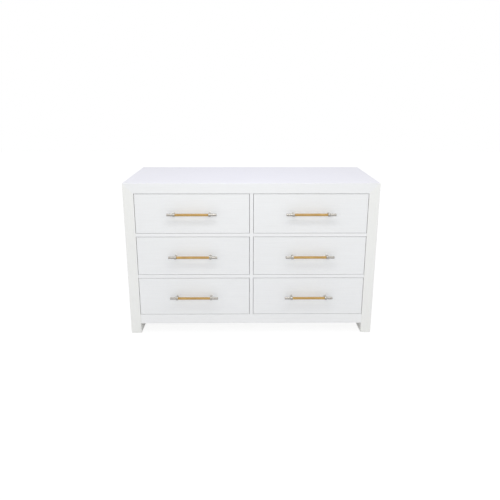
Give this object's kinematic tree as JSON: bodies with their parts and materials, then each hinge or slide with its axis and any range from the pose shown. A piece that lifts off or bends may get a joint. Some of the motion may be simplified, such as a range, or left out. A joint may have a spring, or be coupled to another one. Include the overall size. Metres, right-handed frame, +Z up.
{
  "type": "six-drawer chest",
  "caption": "White lacquered waterfall-framed chest of drawers with inset fronts on telescopic slides, bar pulls with a tan grip between metal posts, and full-depth slab sides as feet.",
  "frame": {"origin": "on the floor, under the middle of the whole chest with its pulls", "axes": "+Z up, +X to the right seen from the front, and the drawers open towards -Y"},
  "size_m": [1.372, 0.586, 0.876],
  "materials": {
    "case_lacquer": "satin white lacquer over a fine linen-like weave",
    "front_lacquer": "satin white lacquer over a fine linen-like weave, threads running across",
    "inner_board": "plain white-faced board",
    "back_board": "white-faced hardboard",
    "box_wood": "clear-lacquered hardwood",
    "box_bottom_board": "sealed plywood",
    "slide_steel": "bright zinc plate",
    "nickel": "satin nickel plate",
    "grip_cane": "honey-coloured lacquered cane",
    "glide_nylon": "moulded nylon"
  },
  "bodies": {
    "case": {"top_panel": "case_lacquer", "left_side_panel": "case_lacquer", "right_side_panel": "case_lacquer", "front_apron": "case_lacquer", "drawer_rails": "case_lacquer", "centre_partition": "case_lacquer", "bottom_panel": "inner_board", "back_rail": "inner_board", "corner_blocks": "box_wood", "back_panel": "back_board", "case_slides": "slide_steel", "floor_glides": "glide_nylon"},
    "top_left_drawer": {"top_left_drawer_front": "front_lacquer", "top_left_drawer_sides": "box_wood", "top_left_drawer_ends": "box_wood", "top_left_drawer_bottom": "box_bottom_board", "top_left_drawer_slides": "slide_steel", "top_left_pull_posts": "nickel", "top_left_pull_grip": "grip_cane"},
    "top_left_slide_middle": {"top_left_middle_slides": "slide_steel"},
    "top_right_drawer": {"top_right_drawer_front": "front_lacquer", "top_right_drawer_sides": "box_wood", "top_right_drawer_ends": "box_wood", "top_right_drawer_bottom": "box_bottom_board", "top_right_drawer_slides": "slide_steel", "top_right_pull_posts": "nickel", "top_right_pull_grip": "grip_cane"},
    "top_right_slide_middle": {"top_right_middle_slides": "slide_steel"},
    "middle_left_drawer": {"middle_left_drawer_front": "front_lacquer", "middle_left_drawer_sides": "box_wood", "middle_left_drawer_ends": "box_wood", "middle_left_drawer_bottom": "box_bottom_board", "middle_left_drawer_slides": "slide_steel", "middle_left_pull_posts": "nickel", "middle_left_pull_grip": "grip_cane"},
    "middle_left_slide_middle": {"middle_left_middle_slides": "slide_steel"},
    "middle_right_drawer": {"middle_right_drawer_front": "front_lacquer", "middle_right_drawer_sides": "box_wood", "middle_right_drawer_ends": "box_wood", "middle_right_drawer_bottom": "box_bottom_board", "middle_right_drawer_slides": "slide_steel", "middle_right_pull_posts": "nickel", "middle_right_pull_grip": "grip_cane"},
    "middle_right_slide_middle": {"middle_right_middle_slides": "slide_steel"},
    "bottom_left_drawer": {"bottom_left_drawer_front": "front_lacquer", "bottom_left_drawer_sides": "box_wood", "bottom_left_drawer_ends": "box_wood", "bottom_left_drawer_bottom": "box_bottom_board", "bottom_left_drawer_slides": "slide_steel", "bottom_left_pull_posts": "nickel", "bottom_left_pull_grip": "grip_cane"},
    "bottom_left_slide_middle": {"bottom_left_middle_slides": "slide_steel"},
    "bottom_right_drawer": {"bottom_right_drawer_front": "front_lacquer", "bottom_right_drawer_sides": "box_wood", "bottom_right_drawer_ends": "box_wood", "bottom_right_drawer_bottom": "box_bottom_board", "bottom_right_drawer_slides": "slide_steel", "bottom_right_pull_posts": "nickel", "bottom_right_pull_grip": "grip_cane"},
    "bottom_right_slide_middle": {"bottom_right_middle_slides": "slide_steel"}
  },
  "joints": [
    {"name": "top_left_drawer_slide", "type": "slide", "parent": "case", "child": "top_left_drawer", "axis": [0, -1, 0], "range_m": [0, 0.48]},
    {"name": "top_left_middle_slide", "type": "slide", "parent": "case", "child": "top_left_slide_middle", "axis": [0, -1, 0], "range_m": [0, 0.24]},
    {"name": "top_right_drawer_slide", "type": "slide", "parent": "case", "child": "top_right_drawer", "axis": [0, -1, 0], "range_m": [0, 0.48]},
    {"name": "top_right_middle_slide", "type": "slide", "parent": "case", "child": "top_right_slide_middle", "axis": [0, -1, 0], "range_m": [0, 0.24]},
    {"name": "middle_left_drawer_slide", "type": "slide", "parent": "case", "child": "middle_left_drawer", "axis": [0, -1, 0], "range_m": [0, 0.48]},
    {"name": "middle_left_middle_slide", "type": "slide", "parent": "case", "child": "middle_left_slide_middle", "axis": [0, -1, 0], "range_m": [0, 0.24]},
    {"name": "middle_right_drawer_slide", "type": "slide", "parent": "case", "child": "middle_right_drawer", "axis": [0, -1, 0], "range_m": [0, 0.48]},
    {"name": "middle_right_middle_slide", "type": "slide", "parent": "case", "child": "middle_right_slide_middle", "axis": [0, -1, 0], "range_m": [0, 0.24]},
    {"name": "bottom_left_drawer_slide", "type": "slide", "parent": "case", "child": "bottom_left_drawer", "axis": [0, -1, 0], "range_m": [0, 0.48]},
    {"name": "bottom_left_middle_slide", "type": "slide", "parent": "case", "child": "bottom_left_slide_middle", "axis": [0, -1, 0], "range_m": [0, 0.24]},
    {"name": "bottom_right_drawer_slide", "type": "slide", "parent": "case", "child": "bottom_right_drawer", "axis": [0, -1, 0], "range_m": [0, 0.48]},
    {"name": "bottom_right_middle_slide", "type": "slide", "parent": "case", "child": "bottom_right_slide_middle", "axis": [0, -1, 0], "range_m": [0, 0.24]}
  ],
  "couplings": [
    {"joint": "top_left_middle_slide", "follows": "top_left_drawer_slide", "ratio": 0.5},
    {"joint": "top_right_middle_slide", "follows": "top_right_drawer_slide", "ratio": 0.5},
    {"joint": "middle_left_middle_slide", "follows": "middle_left_drawer_slide", "ratio": 0.5},
    {"joint": "middle_right_middle_slide", "follows": "middle_right_drawer_slide", "ratio": 0.5},
    {"joint": "bottom_left_middle_slide", "follows": "bottom_left_drawer_slide", "ratio": 0.5},
    {"joint": "bottom_right_middle_slide", "follows": "bottom_right_drawer_slide", "ratio": 0.5}
  ]
}
